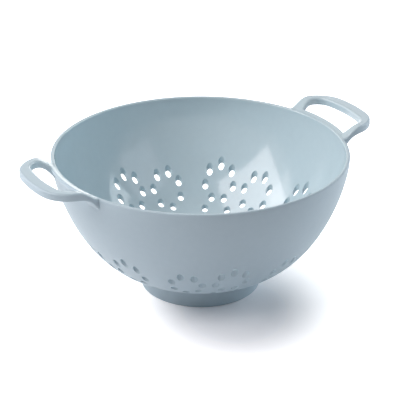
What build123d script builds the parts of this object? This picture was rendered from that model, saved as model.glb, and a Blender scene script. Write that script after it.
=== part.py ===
from build123d import *
import math
import os

os.makedirs("parts", exist_ok=True)

# A one-piece moulded colander: a deep round bowl with drain holes in rings,
# a low foot ring under it, and a flat loop handle on each side of the rim.
# Millimetres, +Z up. The origin is the middle of the face that it stands on,
# and the two handles lie on the X axis.

# Bowl
rim_radius = 120.0
bowl_height = 116.4
wall = 3.0
lip_round = 1.1
floor_radius = 40.0
floor_height = 15.6
belly_reach = 58.5
shoulder_drop = 16.5
shoulder_lean = 1.3

# Drain holes, made by straight upright pins in the mould
hole_diameter = 5.8
periods = 7
ring_holes = 7
high_ring_radius = 12.4
high_ring_height = 46.5
high_ring_turn = 0.0
low_ring_radius = 12.1
low_ring_height = 42.5
low_ring_turn = -18.0
low_ring_step_share = 0.57
first_bearing = -2.6
pair_height = 28.5
pair_half_gap = 9.6
floor_ring_radius = 22.0

# Foot ring
foot_radius = 48.8
foot_taper = 1.2
foot_wall = 4.2
foot_round = 1.2
foot_blend = 3.0

# Loop handles
handle_projection = 32.0
handle_half_width = 40.2
grip_arc_inset = 0.5
handle_corner_share = 0.84375
handle_thickness = 6.8
handle_rise = 8.3
rise_run = 17.0
near_bend_share = 0.26
far_bend_share = 0.5
root_step = 0.3
root_depth = 10.0
flare_run = 5.0
flare_rise = 7.0
handle_edge = 1.8
grip_width = 10.4
heel_run = 20.1
heel_width = 21.7
leg_flare_share = 0.5257
opening_corner_share = 0.375
opening_root_share = 0.09375
opening_inset = 1.8
collar_reach = 2.6
collar_rise = 1.4
collar_depth = 8.0
collar_round = 0.7
collar_end_inset = 9.2
overrun = 6.0
upright_share = 0.01


def inset(before, point, after, depth):
    """Moves a corner of the wall's outline inward, the same depth from both of its sides."""
    first = (point - before).normalized()
    second = (after - point).normalized()
    first_normal = Vector(-first.Y, first.X)
    second_normal = Vector(-second.Y, second.X)
    share = 1 / (1 + first_normal.dot(second_normal))
    return point + (first_normal + second_normal) * (depth * share)


# The outer side of the wall is one curve from the floor to the rim
floor_edge = Vector(floor_radius, floor_height)
belly = Vector(floor_radius + belly_reach, floor_height)
shoulder = Vector(rim_radius + shoulder_lean, bowl_height - shoulder_drop)
rim_edge = Vector(rim_radius, bowl_height)
outer_points = [floor_edge, belly, shoulder, rim_edge]

# The inner side is the same curve, one wall thickness inside it
inner_points = [
    floor_edge + Vector(0, wall),
    inset(floor_edge, belly, shoulder, wall),
    inset(belly, shoulder, rim_edge, wall),
    rim_edge - Vector(wall, 0),
]


# Bowl, turned about the upright axis, with a rounded lip
with BuildPart() as bowl:
    with BuildSketch(Plane.XZ) as bowl_section:
        with BuildLine():
            outer_wall = Bezier(*outer_points)
            Line(outer_wall @ 1, inner_points[3])
            Bezier(*inner_points)
            Polyline(inner_points[0], (0, floor_height + wall), (0, floor_height), outer_wall @ 0)
        make_face()
        fillet(bowl_section.vertices().group_by(Axis.Y)[-1], lip_round)
    revolve(axis=Axis.Z)


def wall_radius(height):
    """The radius of the middle of the wall at a height, found by halving."""
    middle = Bezier(*[(a + b) / 2 for a, b in zip(outer_points, inner_points)], mode=Mode.PRIVATE)
    low = 0.0
    high = 1.0
    for _ in range(30):
        half = (low + high) / 2
        if (middle @ half).Y < height:
            low = half
        else:
            high = half
    return (middle @ low).X


def around(bearing, sideways, radius):
    """A place on the wall, by the bearing of its ring and a distance to one side."""
    angle = math.radians(bearing) + math.asin(sideways / radius)
    return (radius * math.cos(angle), radius * math.sin(angle))


def ring_places(bearing, ring_radius, ring_height, turn):
    """The drain holes of one ring, evenly spaced round it on the wall."""
    places = []
    for number in range(ring_holes):
        angle = math.radians(turn + number * 360 / ring_holes)
        radius = wall_radius(ring_height + ring_radius * math.cos(angle))
        places.append(around(bearing, ring_radius * math.sin(angle), radius))
    return places


period_angle = 360 / periods
hole_places = []
for period in range(periods):
    bearing = first_bearing + period * period_angle
    next_bearing = bearing + low_ring_step_share * period_angle
    hole_places += ring_places(bearing, high_ring_radius, high_ring_height, high_ring_turn)
    hole_places += ring_places(next_bearing, low_ring_radius, low_ring_height, low_ring_turn)
    for side in (-1, 1):
        hole_places.append(around(bearing, side * pair_half_gap, wall_radius(pair_height)))

with bowl:
    with BuildSketch(Plane.XY):
        with Locations(*hole_places):
            Circle(hole_diameter / 2)
        with PolarLocations(floor_ring_radius, ring_holes):
            Circle(hole_diameter / 2)
        Circle(hole_diameter / 2)
    extrude(amount=bowl_height, mode=Mode.SUBTRACT)

bowl.part.label = "bowl"
export_step(bowl.part, "parts/bowl.step")


# The filled outer form of the bowl, which the foot and the handles seat against
with BuildPart() as bowl_form:
    with BuildSketch(Plane.XZ) as form_section:
        with BuildLine():
            form_wall = Bezier(*outer_points)
            Polyline(form_wall @ 1, (0, bowl_height), (0, floor_height), form_wall @ 0)
        make_face()
        fillet(form_section.vertices().group_by(Axis.Y)[-1].sort_by(Axis.X)[-1], lip_round)
    revolve(axis=Axis.Z)
    with BuildSketch(Plane.XY.offset(bowl_height)):
        Circle(rim_radius - lip_round)
    extrude(amount=handle_rise + overrun)


# Foot ring, which widens into the underside of the bowl
foot_top_radius = foot_radius + foot_taper
foot_inner_radius = foot_radius - foot_wall
blend_start = floor_height - foot_blend
with BuildPart() as foot_ring:
    with BuildSketch(Plane.XZ) as foot_section:
        with BuildLine():
            Line((foot_inner_radius, 0), (foot_radius, 0))
            Line((foot_radius, 0), (foot_top_radius, blend_start))
            RadiusArc((foot_top_radius, blend_start), (foot_top_radius + foot_blend, floor_height), foot_blend)
            Line((foot_top_radius + foot_blend, floor_height), (foot_inner_radius, floor_height))
            Line((foot_inner_radius, floor_height), (foot_inner_radius, 0))
        make_face()
        fillet(foot_section.vertices().group_by(Axis.Y)[0], foot_round)
    revolve(axis=Axis.Z)
    add(bowl_form.part, mode=Mode.SUBTRACT)

foot_ring.part.label = "foot_ring"
export_step(foot_ring.part, "parts/foot_ring.step")


# Loop handles. The band rises steeply from the rim and levels out at the grip.
# Its legs widen and deepen towards the bowl, as a gusset does.
root_radius = rim_radius - lip_round
handle_reach = rim_radius + handle_projection
blank_start = root_radius - heel_run
root_top = bowl_height + root_step
grip_top = bowl_height + handle_rise
level_radius = root_radius + rise_run
far_bend = level_radius - far_bend_share * rise_run
top_points = [
    Vector(root_radius, root_top),
    Vector(root_radius + near_bend_share * rise_run, root_top),
    Vector(far_bend, grip_top),
    Vector(level_radius, grip_top),
]
root_under = Vector(root_radius, bowl_height - root_depth)
under_points = [
    top_points[3] - Vector(0, handle_thickness),
    top_points[2] - Vector(0, handle_thickness),
    root_under + Vector(flare_run, flare_rise),
    root_under,
]
opening_reach = handle_reach - grip_width
grip_arc_radius = rim_radius - grip_arc_inset
arc_centre = (handle_reach - grip_arc_radius, 0)
opening_near_half_width = handle_half_width - heel_width
opening_far_half_width = opening_near_half_width + leg_flare_share * (opening_reach - blank_start)

# A low collar thickens the rim between the two legs
with BuildPart() as collar:
    with BuildSketch(Plane.XZ) as collar_section:
        with BuildLine():
            collar_top = Line((root_radius, root_top), (rim_radius + collar_reach, bowl_height + collar_rise))
            collar_side = Line(collar_top @ 1, (rim_radius + collar_reach, bowl_height - collar_rise))
            Polyline(collar_side @ 1, (root_radius, bowl_height - collar_depth), collar_top @ 0)
        make_face()
        fillet(collar_section.vertices().sort_by(Axis.X)[-2:], collar_round)
    revolve(axis=Axis.Z)
    with Locations((rim_radius, 0, bowl_height)):
        Box(handle_half_width, 2 * (handle_half_width - collar_end_inset), 2 * grip_width, mode=Mode.INTERSECT)

with BuildPart() as right_handle:
    with BuildSketch(Plane.XY):
        with BuildSketch() as outline:
            with Locations((blank_start, 0)):
                Rectangle(handle_reach, 2 * handle_half_width, align=(Align.MIN, Align.CENTER))
            with Locations(arc_centre):
                Circle(grip_arc_radius, mode=Mode.INTERSECT)
            fillet(outline.vertices().sort_by(Axis.X)[-2:], handle_corner_share * handle_projection)
    extrude(amount=grip_top + overrun)
    with BuildSketch(Plane.XY):
        with BuildSketch() as opening:
            with BuildLine():
                far_end = Line(
                    (opening_reach, -opening_far_half_width), (opening_reach, opening_far_half_width)
                )
                near_end = Line(
                    (blank_start, opening_near_half_width), (blank_start, -opening_near_half_width)
                )
                Line(far_end @ 1, near_end @ 0)
                Line(near_end @ 1, far_end @ 0)
            make_face()
            with Locations(arc_centre):
                Circle(grip_arc_radius - grip_width, mode=Mode.INTERSECT)
            Circle(rim_radius - opening_inset, mode=Mode.SUBTRACT)
            fillet(opening.vertices().sort_by(Axis.X)[-2:], opening_corner_share * handle_projection)
            fillet(opening.vertices().sort_by(Axis.X)[:2], opening_root_share * handle_projection)
    extrude(amount=grip_top + overrun, mode=Mode.SUBTRACT)
    with BuildSketch(Plane.XZ):
        with BuildLine():
            Bezier(*top_points)
            grip_face = Line(top_points[3], (handle_reach + overrun, grip_top))
            end_drop = Line(grip_face @ 1, grip_face @ 1 - Vector(0, handle_thickness))
            Line(end_drop @ 1, under_points[0])
            Bezier(*under_points)
            Polyline(root_under, (0, root_under.Y), (0, root_top), top_points[0])
        make_face()
    revolve(axis=Axis.Z, mode=Mode.INTERSECT)
    sides = right_handle.faces().filter_by(lambda face: abs(face.normal_at().Z) < upright_share)
    outlines = sides.edges().filter_by(Axis.Z, reverse=True)
    outlines = outlines.filter_by(lambda edge: edge.center().X > blank_start + handle_edge)
    fillet(outlines, handle_edge)
    add(collar.part)
    add(bowl_form.part, mode=Mode.SUBTRACT)

right_handle.part.label = "right_handle"
export_step(right_handle.part, "parts/right_handle.step")

# The left handle is the same loop on the other side of the bowl
left_handle = right_handle.part.mirror(Plane.YZ)
left_handle.label = "left_handle"
export_step(left_handle, "parts/left_handle.step")
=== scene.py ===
# %% [markdown]
# # A moulded colander
# The object is one pale grey-blue moulding: a deep round bowl with drain holes in rings, a low
# foot, and a flat loop on each side to carry it by. The shapes come from the construction
# model, which is loaded first and never moved. This file adds the finish, the camera, the light
# and the floor.

# %% Load the construction model
import math
import bpy
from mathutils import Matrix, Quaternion, Vector

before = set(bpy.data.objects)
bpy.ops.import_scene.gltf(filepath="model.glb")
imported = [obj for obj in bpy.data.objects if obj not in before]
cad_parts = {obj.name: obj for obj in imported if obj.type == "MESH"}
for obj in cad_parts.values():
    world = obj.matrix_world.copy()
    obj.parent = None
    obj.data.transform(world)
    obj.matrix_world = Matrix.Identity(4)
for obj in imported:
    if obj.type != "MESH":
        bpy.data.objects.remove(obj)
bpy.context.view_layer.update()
scene = bpy.context.scene
MM = 0.001
print("pieces:", sorted(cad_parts))

# %% [markdown]
# ## Colours and nodes
# Colours are written as the hex values that a paint program shows, which are sRGB. The shader
# works in linear light, so one function turns them. One more function adds a shader node with
# its settings and its links, so that each material reads as a short list.

# %% Colour and node helpers
WHITE = "#ffffff"


def linear(hex_colour):
    """An sRGB hex colour as linear red, green, blue and alpha."""
    channels = [int(hex_colour[i:i + 2], 16) / 255 for i in (1, 3, 5)]
    return [c / 12.92 if c <= 0.04045 else ((c + 0.055) / 1.055) ** 2.4 for c in channels] + [1.0]


def add_node(tree, kind, settings=None, links=None):
    """Adds a shader node. Settings name its properties or inputs, and links name its inputs."""
    node = tree.nodes.new(kind)
    for name, value in (settings or {}).items():
        if isinstance(name, str) and hasattr(node, name):
            setattr(node, name, value)
        else:
            node.inputs[name].default_value = value
    for name, socket in (links or {}).items():
        tree.links.new(socket, node.inputs[name])
    return node


def new_material(name):
    """An empty node material and its tree."""
    material = bpy.data.materials.new(name)
    material.use_nodes = True
    material.node_tree.nodes.clear()
    return material, material.node_tree


print("mid grey in linear light:", round(linear("#808080")[0], 3))

# %% [markdown]
# ## Melamine
# The real thing is compression-moulded melamine resin with pigment and pulp filler. It is hard
# and dense, with a refractive index of about 1.6. The half of the mould that makes the inside is
# polished, so the inside is glossy and mirrors the lights as soft shapes. The outside is satin,
# which spreads them. Both finishes are on the same piece, so one material holds them. It goes
# from one to the other by the direction that the surface faces, towards the middle of the bowl
# or away from it. What faces neither way is halfway between: the top of the lip, the level faces
# of the handles and the floor of the bowl.

# %% Which way the surface faces
FACING_BAND = 0.2
melamine, resin = new_material("moulded_melamine")
place = add_node(resin, "ShaderNodeTexCoord")
surface = add_node(resin, "ShaderNodeNewGeometry")
level = add_node(resin, "ShaderNodeVectorMath", {"operation": "MULTIPLY", 1: (1, 1, 0)},
                 {0: place.outputs["Object"]})
away = add_node(resin, "ShaderNodeVectorMath", {"operation": "NORMALIZE"}, {0: level.outputs[0]})
facing = add_node(resin, "ShaderNodeVectorMath", {"operation": "DOT_PRODUCT"},
                  {0: surface.outputs["Normal"], 1: away.outputs[0]})
outside = add_node(resin, "ShaderNodeMapRange",
                   {"From Min": -FACING_BAND, "From Max": FACING_BAND},
                   {"Value": facing.outputs["Value"]})
print("polished below", -FACING_BAND, "and satin above", FACING_BAND)

# %% [markdown]
# The filler gives a barely visible mottle of a few millimetres. It is a noise texture that mixes
# two near colours, and its scale is worked out from that size. The satin side is written a little
# darker and greyer than the polished one, as it looks in the photo.

# %% Colour with its mottle
POLISHED_BLUE = "#b9ced6"
POLISHED_PALE = "#bfd3da"
# The two satin colours are the same melamine made darker and greyer. This is painted shade and a
# painted sheen on the outside, not a colour of its own.
SATIN_BLUE_WITH_PAINTED_SHADE = "#a4b8c3"
SATIN_PALE_WITH_PAINTED_SHADE = "#aabdc7"
MOTTLE_SIZE = 5 * MM
MOTTLE_DETAIL = 4.0
mottle = add_node(resin, "ShaderNodeTexNoise", {"Scale": 1 / MOTTLE_SIZE, "Detail": MOTTLE_DETAIL},
                  {"Vector": place.outputs["Object"]})
polished = add_node(resin, "ShaderNodeMix",
                    {"data_type": "RGBA", 6: linear(POLISHED_BLUE), 7: linear(POLISHED_PALE)},
                    {"Factor": mottle.outputs[0]})
satin = add_node(resin, "ShaderNodeMix",
                 {"data_type": "RGBA", 6: linear(SATIN_BLUE_WITH_PAINTED_SHADE), 7: linear(SATIN_PALE_WITH_PAINTED_SHADE)},
                 {"Factor": mottle.outputs[0]})
# Where the surface faces away from the middle, this mix brings in the painted shade and painted
# sheen of the satin colours.
colour = add_node(resin, "ShaderNodeMix", {"data_type": "RGBA"},
                  {"Factor": outside.outputs["Result"], 6: polished.outputs[2],
                   7: satin.outputs[2]})
print("mottle scale:", 1 / MOTTLE_SIZE)

# %% [markdown]
# The skin of a moulding is never quite even. A second noise, with waves finer than a grain of
# rice, drives a bump of about a hundredth of a millimetre, so the reflections aren't perfect.

# %% Waves, gloss and the finished material
SKIN_WAVE_SIZE = 1.6 * MM
SKIN_WAVE_DEPTH = 0.012 * MM
SKIN_WAVE_DETAIL = 2.0
MELAMINE_IOR = 1.6
POLISHED_ROUGHNESS = 0.11
SATIN_ROUGHNESS = 0.5
waves = add_node(resin, "ShaderNodeTexNoise",
                 {"Scale": 1 / SKIN_WAVE_SIZE, "Detail": SKIN_WAVE_DETAIL},
                 {"Vector": place.outputs["Object"]})
bump = add_node(resin, "ShaderNodeBump", {"Distance": SKIN_WAVE_DEPTH},
                {"Height": waves.outputs[0]})
roughness = add_node(resin, "ShaderNodeMapRange",
                     {"To Min": POLISHED_ROUGHNESS, "To Max": SATIN_ROUGHNESS},
                     {"Value": outside.outputs["Result"]})
shader = add_node(resin, "ShaderNodeBsdfPrincipled", {"IOR": MELAMINE_IOR},
                  {"Base Color": colour.outputs[2], "Roughness": roughness.outputs["Result"],
                   "Normal": bump.outputs["Normal"]})
add_node(resin, "ShaderNodeOutputMaterial", {}, {"Surface": shader.outputs[0]})

for node_name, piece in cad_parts.items():
    piece.data.materials.clear()
    piece.data.materials.append(melamine)
    print(node_name, "faces:", len(piece.data.polygons))

# %% [markdown]
# ## Camera
# The photo looks down at the colander at about 25 degrees, from in front and a little to the
# left, through a long lens. Its rim is 240 mm across, so the lens and the distance follow from
# the size and the shape of the rim in the picture.

# %% Camera
VIEW_TURN = math.radians(-30.7)
VIEW_HEIGHT = math.radians(25.0)
VIEW_DISTANCE = 1434.4 * MM
VIEW_LENS = 158.6
SENSOR_WIDTH = 36
AIM_HEIGHT = 72.85 * MM
AIM_SIDE = -0.33 * MM

rightward = Vector((math.cos(VIEW_TURN), math.sin(VIEW_TURN), 0))
forward = Vector((-math.sin(VIEW_TURN), math.cos(VIEW_TURN), 0))
upward = Vector((0, 0, 1))
aim = rightward * AIM_SIDE + upward * AIM_HEIGHT
sight = forward * math.cos(VIEW_HEIGHT) - upward * math.sin(VIEW_HEIGHT)

camera_data = bpy.data.cameras.new("camera")
camera_data.lens = VIEW_LENS
camera_data.sensor_width = SENSOR_WIDTH
camera = bpy.data.objects.new("camera", camera_data)
camera.location = aim - sight * VIEW_DISTANCE
camera.rotation_euler = sight.to_track_quat("-Z", "Y").to_euler()
scene.collection.objects.link(camera)
scene.camera = camera
print("camera at", [round(c, 3) for c in camera.location])

# %% [markdown]
# ## Light
# A large soft box stands high on the left, a little in front of the bowl and turned in its own
# plane. It is the one that shows as a bright tent on the polished inside. Two panels stand low
# on the sides, and weaker ones in front on the right, behind and overhead. Each place is a
# bearing, where 0 degrees is straight behind the bowl and 90 degrees is on its right, as the
# camera sees it, with a height angle and a distance.

# %% Soft panels
NEAR_PANEL = 1.5
FAR_PANEL = 1.8


def soft_panel(name, bearing, height, width, tall, power, colour, distance=NEAR_PANEL, spin=0):
    """A rectangular panel light that faces the bowl. Spin turns it in its own plane."""
    light = bpy.data.lights.new(name, "AREA")
    light.shape = "RECTANGLE"
    light.size = width
    light.size_y = tall
    light.energy = power
    light.color = linear(colour)[:3]
    panel = bpy.data.objects.new(name, light)
    turn, tilt = math.radians(bearing), math.radians(height)
    flat = rightward * math.sin(turn) + forward * math.cos(turn)
    panel.location = aim + (flat * math.cos(tilt) + upward * math.sin(tilt)) * distance
    towards = (aim - panel.location).to_track_quat("-Z", "Y")
    panel.rotation_euler = (towards @ Quaternion((0, 0, 1), math.radians(spin))).to_euler()
    scene.collection.objects.link(panel)
    print(name, "at", [round(c, 2) for c in panel.location], "with", power, "W")


soft_panel("key_box", -109, 46, 1.33, 1.4, 23.0, "#fff8f8", spin=-24)
soft_panel("left_side", -68, 18, 1.5, 1.5, 11.5, "#fff9f9", distance=FAR_PANEL)
soft_panel("right_side", 68, 18, 1.3, 1.3, 17.5, "#f1f9ff", distance=FAR_PANEL)
soft_panel("right_front", 118, 32, 0.9, 0.9, 2.4, "#f4f4ff")
soft_panel("behind", 12, 8, 1.6, 0.6, 4.5, WHITE, distance=FAR_PANEL)
soft_panel("overhead", 0, 85, 1.2, 1.2, 1.5, "#f6fbff")

# %% [markdown]
# ## Sky
# The sky is white where it shows, straight on or as a reflection in the melamine. It lights the
# bowl only faintly, because the panels do that. One helper tells the rays that show the
# background from those that only carry light. The floor uses it too.

# %% Sky
SKY_STRENGTH = 0.02
SHOWN_STRENGTH = 1.0


def background_ray(tree):
    """Is 1 for rays that show the background: straight on, seen through or mirrored."""
    ray = add_node(tree, "ShaderNodeLightPath")
    straight = add_node(tree, "ShaderNodeMath", {"operation": "MAXIMUM"},
                        {0: ray.outputs["Is Camera Ray"], 1: ray.outputs["Is Transmission Ray"]})
    shown = add_node(tree, "ShaderNodeMath", {"operation": "MAXIMUM"},
                     {0: straight.outputs[0], 1: ray.outputs["Is Glossy Ray"]})
    return shown.outputs[0]


world = bpy.data.worlds.new("studio")
scene.world = world
world.use_nodes = True
sky = world.node_tree
sky.nodes.clear()
dim = add_node(sky, "ShaderNodeBackground", {"Color": linear(WHITE), "Strength": SKY_STRENGTH})
bright = add_node(sky, "ShaderNodeBackground", {"Color": linear(WHITE), "Strength": SHOWN_STRENGTH})
either = add_node(sky, "ShaderNodeMixShader", {},
                  {0: background_ray(sky), 1: dim.outputs[0], 2: bright.outputs[0]})
add_node(sky, "ShaderNodeOutputWorld", {}, {"Surface": either.outputs[0]})
print("sky strength:", SKY_STRENGTH, "and where it shows:", SHOWN_STRENGTH)

# %% [markdown]
# ## Floor
# The colander stands on a sweep of white paper. A plain disc is enough for it, wide enough to be
# white to the edge of the picture.

# %% Floor disc
FLOOR_RADIUS = 6.0
FLOOR_SIDES = 64
corners = []
for side in range(FLOOR_SIDES):
    turn = side * math.tau / FLOOR_SIDES
    corners.append((FLOOR_RADIUS * math.cos(turn), FLOOR_RADIUS * math.sin(turn), 0))
floor_mesh = bpy.data.meshes.new("floor")
floor_mesh.from_pydata(corners, [], [list(range(FLOOR_SIDES))])
floor = bpy.data.objects.new("floor", floor_mesh)
scene.collection.objects.link(floor)
print("floor radius:", FLOOR_RADIUS, "m")

# %% [markdown]
# Where the paper shows, straight on or mirrored, a little emission lifts it to white. The lift
# fades out in an oval around the foot and in front of it, where the shadow lies. The oval is
# therefore a painted shadow: the paper is darker there, on top of the shadow that the lamps cast.
# The oval is longer in the camera's direction than it is wide.

# %% White paper with a painted shadow
PAPER_WHITE = "#f4f5f7"
FLOOR_LIFT = 0.9
SHADOW_SIDE = 28 * MM
SHADOW_FRONT = 54 * MM
SHADOW_NEAR = 27 * MM
SHADOW_FAR = 106 * MM
SHADOW_SHAPE = 0.78
painted_shadow_middle = rightward * SHADOW_SIDE - forward * SHADOW_FRONT
paper_material, paper = new_material("white_paper_sweep")
spot = add_node(paper, "ShaderNodeTexCoord")
offset = add_node(paper, "ShaderNodeVectorMath", {"operation": "SUBTRACT", 1: painted_shadow_middle},
                  {0: spot.outputs["Object"]})
across = add_node(paper, "ShaderNodeVectorMath", {"operation": "DOT_PRODUCT", 1: rightward},
                  {0: offset.outputs[0]})
along = add_node(paper, "ShaderNodeVectorMath",
                 {"operation": "DOT_PRODUCT", 1: forward * SHADOW_SHAPE}, {0: offset.outputs[0]})
oval = add_node(paper, "ShaderNodeCombineXYZ", {},
                {0: across.outputs["Value"], 1: along.outputs["Value"]})
distance = add_node(paper, "ShaderNodeVectorMath", {"operation": "LENGTH"}, {0: oval.outputs[0]})
# The smaller lift inside the oval is a painted shadow that darkens the paper there.
painted_shadow_fade = add_node(paper, "ShaderNodeMapRange",
                {"interpolation_type": "SMOOTHSTEP", "From Min": SHADOW_NEAR,
                 "From Max": SHADOW_FAR, "To Max": FLOOR_LIFT},
                {"Value": distance.outputs["Value"]})
matt = add_node(paper, "ShaderNodeBsdfDiffuse", {"Color": linear(PAPER_WHITE)})
lift = add_node(paper, "ShaderNodeEmission", {"Color": linear(WHITE)},
                {"Strength": painted_shadow_fade.outputs["Result"]})
lifted = add_node(paper, "ShaderNodeAddShader", {}, {0: matt.outputs[0], 1: lift.outputs[0]})
seen = add_node(paper, "ShaderNodeMixShader", {},
                {0: background_ray(paper), 1: matt.outputs[0], 2: lifted.outputs[0]})
add_node(paper, "ShaderNodeOutputMaterial", {}, {"Surface": seen.outputs[0]})
floor_mesh.materials.append(paper_material)
print("the lift fades between", SHADOW_NEAR, "and", SHADOW_FAR, "m from", painted_shadow_middle[:])

# %% [markdown]
# ## Output
# The picture keeps its plain colours, with no contrast curve.

# %% View settings
scene.view_settings.view_transform = "Standard"
